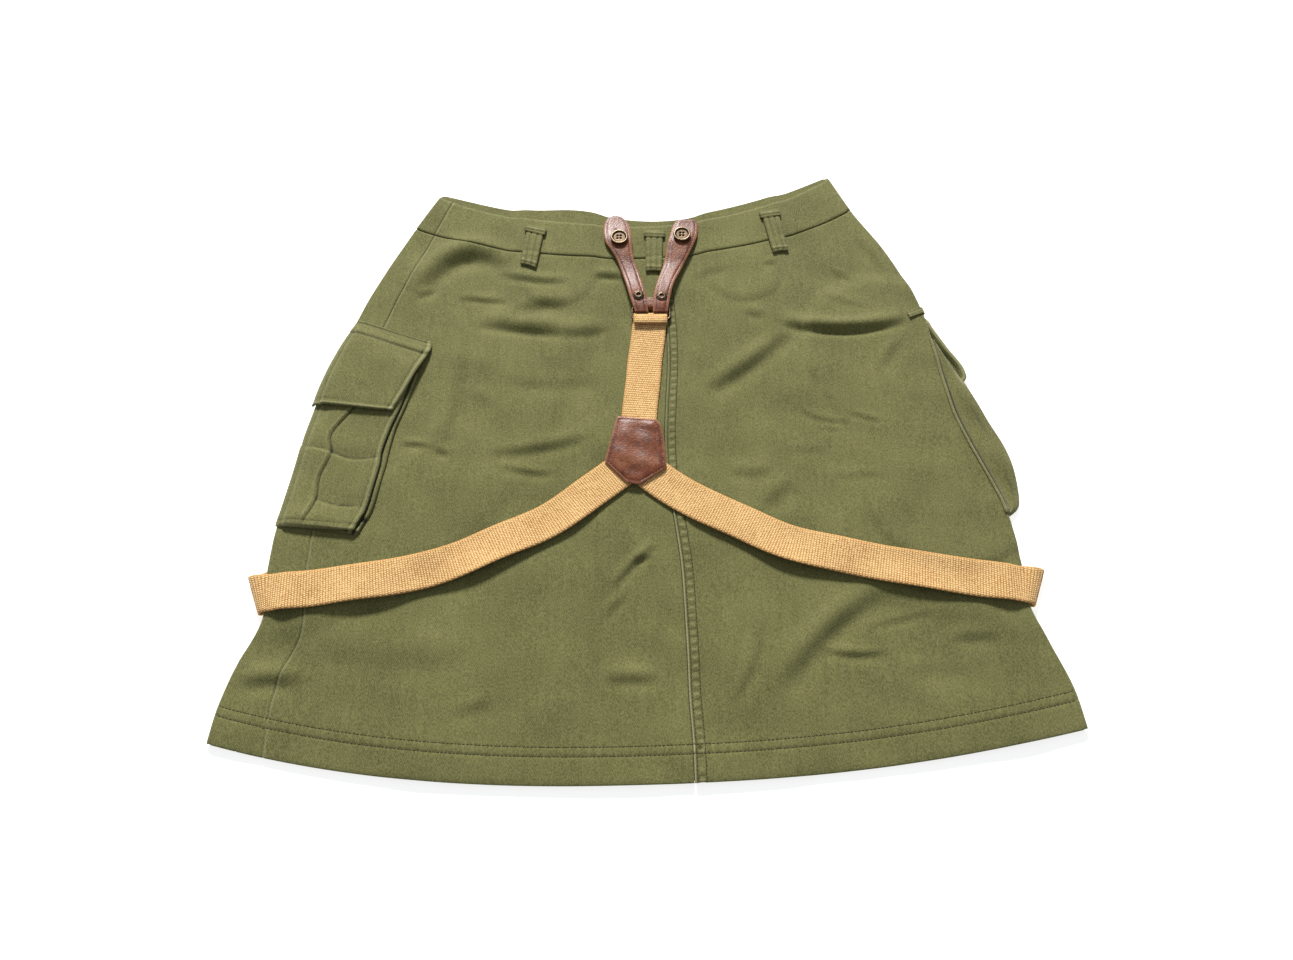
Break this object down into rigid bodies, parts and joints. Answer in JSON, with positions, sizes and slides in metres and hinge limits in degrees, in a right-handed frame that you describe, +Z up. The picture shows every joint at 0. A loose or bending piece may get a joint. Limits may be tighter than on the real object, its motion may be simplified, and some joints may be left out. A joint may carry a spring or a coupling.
{
  "type": "suspender skirt",
  "caption": "A-line cotton skirt laid flat on its front, with side bellows pockets, belt loops and a Y of webbing suspenders on leather button tabs.",
  "frame": {"origin": "middle of the box's underside, on the surface that the skirt lies on", "axes": "+X to the right across the back of the skirt, +Y from the hem to the waist, +Z up from the surface"},
  "size_m": [0.661, 0.5736, 0.0151],
  "materials": {
    "twill": "washed cotton twill, matt",
    "webbing": "ribbed cotton webbing",
    "hide": "polished brown leather",
    "brass": "aged"
  },
  "bodies": {
    "root": {"front_panel": "twill", "back_left_panel": "twill", "back_right_panel": "twill", "front_waistband": "twill", "back_waistband": "twill", "belt_loop_left": "twill", "belt_loop_centre": "twill", "belt_loop_right": "twill", "left_pocket": "twill", "left_pocket_flap": "twill", "right_pocket": "twill", "right_pocket_flap": "twill", "back_strap": "webbing", "left_strap": "webbing", "right_strap": "webbing", "left_button_tab": "hide", "right_button_tab": "hide", "leather_keeper": "hide", "yoke_patch": "hide", "front_left_tab": "hide", "front_right_tab": "hide", "wire_ring": "brass", "left_button": "brass", "right_button": "brass", "left_eyelet": "brass", "right_eyelet": "brass", "front_left_button": "brass", "front_right_button": "brass"}
  },
  "joints": []
}
